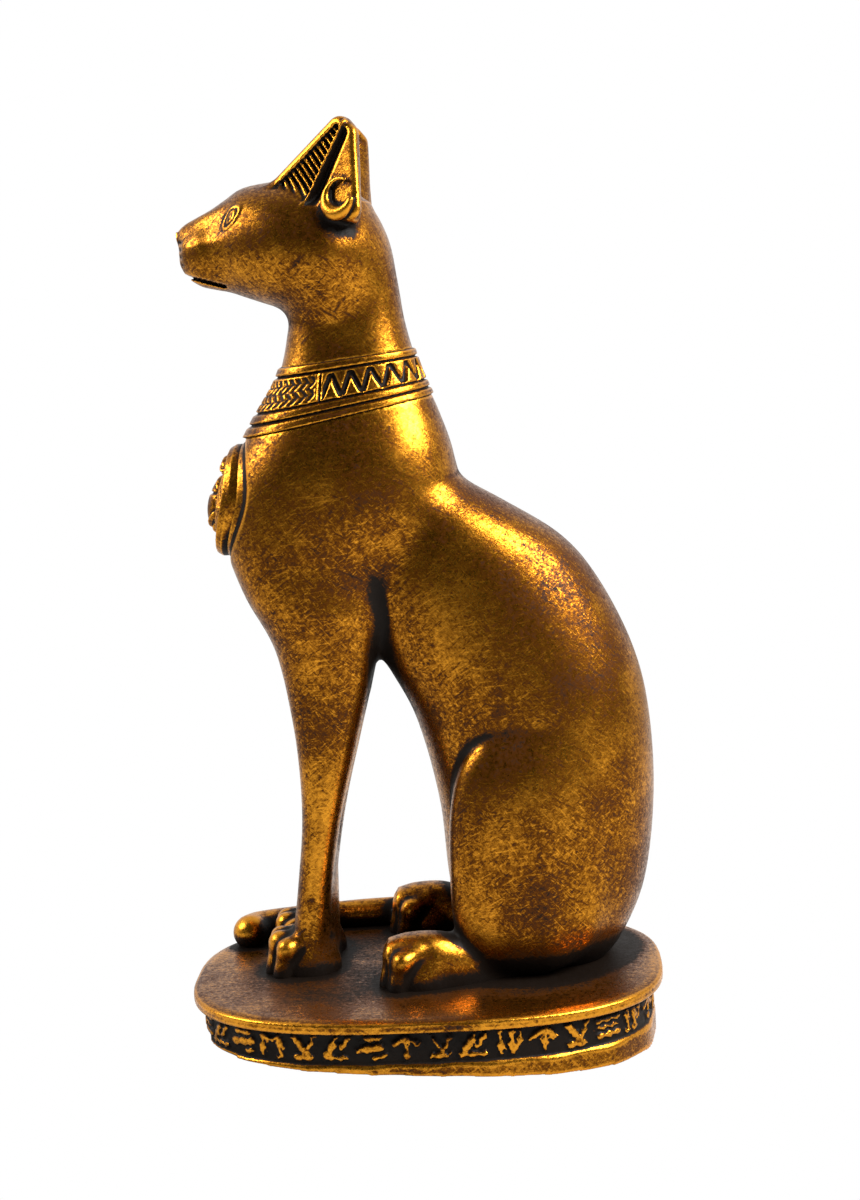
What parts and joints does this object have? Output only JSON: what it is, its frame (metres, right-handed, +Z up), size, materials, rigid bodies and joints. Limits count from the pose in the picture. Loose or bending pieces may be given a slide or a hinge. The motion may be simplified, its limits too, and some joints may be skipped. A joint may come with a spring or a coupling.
{
  "type": "egyptian cat statue",
  "caption": "Seated cat in ancient Egyptian style with collar, winged-beetle pendant and hoop earrings, cast in one piece with an oval plinth.",
  "frame": {"origin": "middle of the plinth's flat underside", "axes": "+Z up, -Y the way the cat looks, +X the cat's left side"},
  "size_m": [0.092, 0.1357, 0.251],
  "materials": {
    "bronze_paint": "gold-bronze paint rubbed over black-brown on cast resin, worn bright on the ridges and dark in the hollows"
  },
  "bodies": {
    "root": {"cat_statue": "bronze_paint"}
  },
  "joints": []
}
